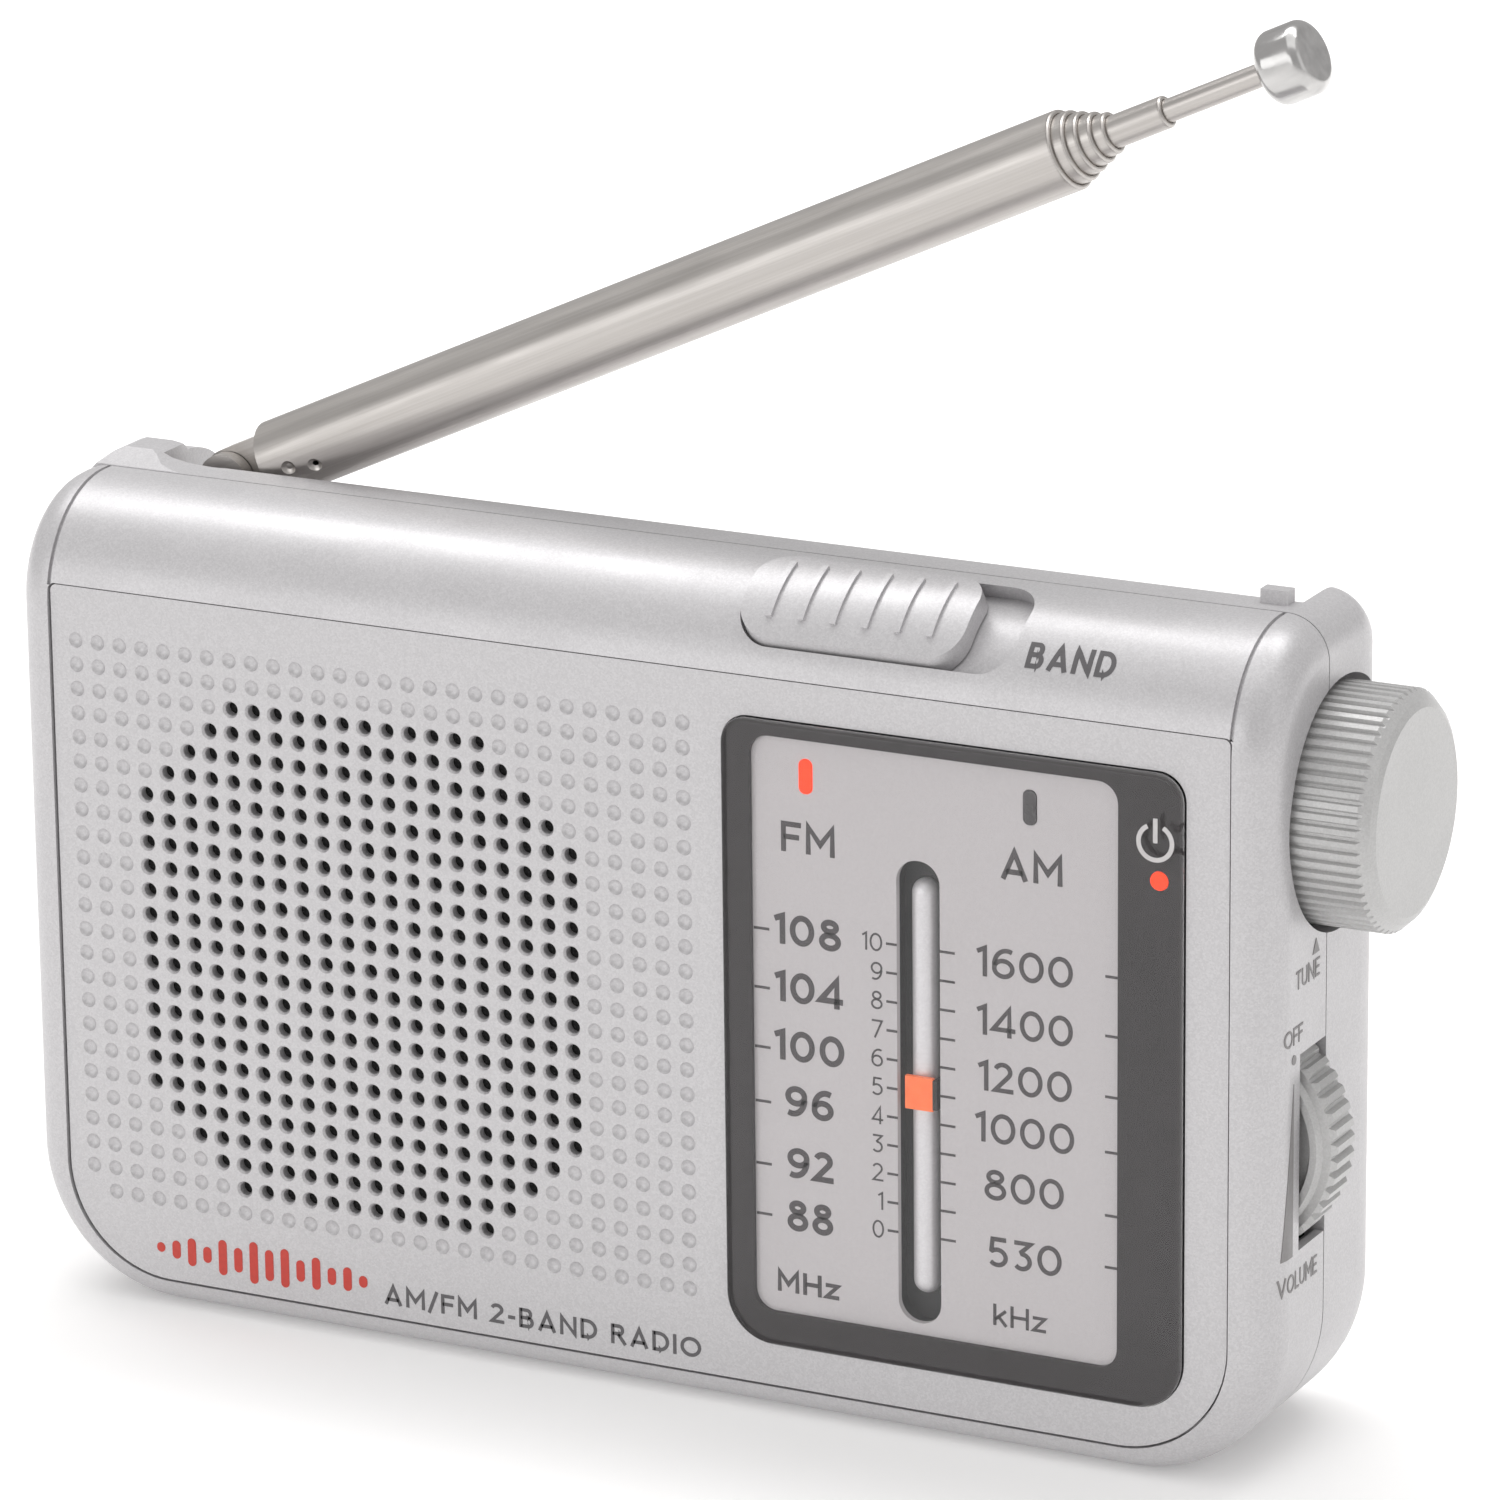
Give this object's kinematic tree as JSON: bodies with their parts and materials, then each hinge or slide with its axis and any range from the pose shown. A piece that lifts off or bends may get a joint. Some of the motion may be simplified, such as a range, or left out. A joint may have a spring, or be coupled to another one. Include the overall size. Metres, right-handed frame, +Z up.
{
  "type": "pocket radio",
  "caption": "Pocket AM/FM radio: silver case with a perforated speaker front, a lit dial with a sliding pointer, side tuning knob and volume wheel, band slider and telescopic antenna.",
  "frame": {"origin": "middle of the flat base, on the surface that the radio stands on", "axes": "+X to the right along the front, +Y from the front to the back, +Z up"},
  "size_m": [0.1267, 0.0278, 0.1213],
  "materials": {
    "silver_plastic": "satin metallic silver, fine speckle",
    "knob_plastic": "satin light silver",
    "clear_lens": "polished clear",
    "charcoal_print": "gloss",
    "scale_print": "satin",
    "black_plastic": "matt",
    "rail_metal": "satin",
    "orange_plastic": "gloss",
    "lamp_orange": "lit",
    "lamp_grey": "unlit",
    "led_body": "gloss",
    "circuit_board": "solder mask",
    "gear_plastic": "natural",
    "steel": "plated",
    "magnet": "plated",
    "paper_cone": "pressed paper",
    "black_cloth": "woven",
    "cell_wrap": "gloss wrap",
    "ferrite": "matt",
    "copper_wire": "enamelled",
    "capacitor_sleeve": "gloss",
    "antenna_nickel": "satin nickel",
    "antenna_chrome": "polished"
  },
  "bodies": {
    "cabinet": {"am_indicator": "lamp_grey", "back_cabinet": "silver_plastic", "band_switch": "black_plastic", "battery_box_floor": "black_plastic", "battery_lower": "cell_wrap", "battery_spring_bridge": "steel", "battery_terminals": "steel", "battery_upper": "cell_wrap", "cabinet_screws": "steel", "capacitors": "capacitor_sleeve", "dial_lens": "clear_lens", "dial_mask": "charcoal_print", "dial_scale_plate": "scale_print", "earphone_jack": "black_plastic", "face_panel": "silver_plastic", "ferrite_clips": "black_plastic", "ferrite_coil": "copper_wire", "ferrite_rod": "ferrite", "fm_indicator": "lamp_orange", "front_cabinet": "silver_plastic", "gear_bracket": "steel", "grille_cloth": "black_cloth", "indicator_leds": "led_body", "led_board": "circuit_board", "main_board": "circuit_board", "pointer_channel": "black_plastic", "pointer_rail": "rail_metal", "power_indicator": "lamp_orange", "speaker_cone": "paper_cone", "speaker_frame": "steel", "speaker_magnet": "magnet", "tuned_coil_cans": "steel", "tuner_chip": "black_plastic", "tuning_capacitor": "black_plastic", "volume_board": "circuit_board", "volume_potentiometer": "black_plastic"},
    "battery_lid": {"battery_door": "silver_plastic"},
    "tuning": {"tuning_knob": "knob_plastic", "tuning_shaft": "steel", "tuning_gear": "gear_plastic"},
    "idler": {"idler_gear": "gear_plastic"},
    "pointer": {"pointer_cap": "orange_plastic", "pointer_carriage": "black_plastic"},
    "volume": {"volume_wheel": "knob_plastic", "volume_spindle": "steel"},
    "band": {"band_slider": "silver_plastic", "band_switch_lever": "black_plastic"},
    "swivel": {"antenna_swivel": "antenna_nickel", "antenna_pivot_pin": "steel", "antenna_washer": "steel", "antenna_screw": "steel"},
    "mast": {"antenna_tang": "antenna_nickel", "antenna_section_1": "antenna_nickel"},
    "section_2": {"antenna_section_2": "antenna_nickel"},
    "section_3": {"antenna_section_3": "antenna_nickel"},
    "section_4": {"antenna_section_4": "antenna_nickel"},
    "section_5": {"antenna_section_5": "antenna_nickel"},
    "section_6": {"antenna_section_6": "antenna_nickel"},
    "rod": {"antenna_rod": "antenna_nickel", "antenna_tip": "antenna_chrome"}
  },
  "joints": [
    {"name": "antenna_swivel", "type": "hinge", "parent": "cabinet", "child": "swivel", "pos_m": [-0.0475, 0.005, 0.0719], "axis": [0, 0, 1], "range_deg": [0, 100]},
    {"name": "antenna_tilt", "type": "hinge", "parent": "swivel", "child": "mast", "pos_m": [-0.0475, 0.005, 0.0719], "axis": [0, -1, 0], "range_deg": [-22.5, 65.5]},
    {"name": "section_2_slide", "type": "slide", "parent": "mast", "child": "section_2", "axis": [0.91, 0, 0.4147], "range_m": [0, 0.072]},
    {"name": "section_3_slide", "type": "slide", "parent": "section_2", "child": "section_3", "axis": [0.91, 0, 0.4147], "range_m": [0, 0.072]},
    {"name": "section_4_slide", "type": "slide", "parent": "section_3", "child": "section_4", "axis": [0.91, 0, 0.4147], "range_m": [0, 0.071]},
    {"name": "section_5_slide", "type": "slide", "parent": "section_4", "child": "section_5", "axis": [0.91, 0, 0.4147], "range_m": [0, 0.07]},
    {"name": "section_6_slide", "type": "slide", "parent": "section_5", "child": "section_6", "axis": [0.91, 0, 0.4147], "range_m": [-0.0041, 0.069]},
    {"name": "rod_slide", "type": "slide", "parent": "section_6", "child": "rod", "axis": [0.91, 0, 0.4147], "range_m": [-0.0091, 0.063]},
    {"name": "tuning_turn", "type": "hinge", "parent": "cabinet", "child": "tuning", "pos_m": [0.06, 0.0005, 0.057], "axis": [1, 0, 0], "range_deg": [-101.16, 101.16]},
    {"name": "idler_turn", "type": "hinge", "parent": "cabinet", "child": "idler", "pos_m": [0.04, 0.0005, 0.0425], "axis": [1, 0, 0], "range_deg": [-102, 102]},
    {"name": "pointer_slide", "type": "slide", "parent": "cabinet", "child": "pointer", "axis": [0, 0, 1], "range_m": [-0.0129, 0.0129]},
    {"name": "volume_turn", "type": "hinge", "parent": "cabinet", "child": "volume", "pos_m": [0.0525, -0.0055, 0.029], "axis": [0, 1, 0], "range_deg": [-140, 140]},
    {"name": "band_slide", "type": "slide", "parent": "cabinet", "child": "band", "axis": [1, 0, 0], "range_m": [0, 0.004]},
    {"name": "battery_lid_hinge", "type": "hinge", "parent": "cabinet", "child": "battery_lid", "pos_m": [0.01, 0.0126, 0.0101], "axis": [-1, 0, 0], "range_deg": [0, 95]}
  ],
  "couplings": [
    {"joint": "idler_turn", "follows": "tuning_turn", "ratio": -1},
    {"joint": "pointer_slide", "follows": "tuning_turn", "m_per_rad": 0.00725}
  ]
}
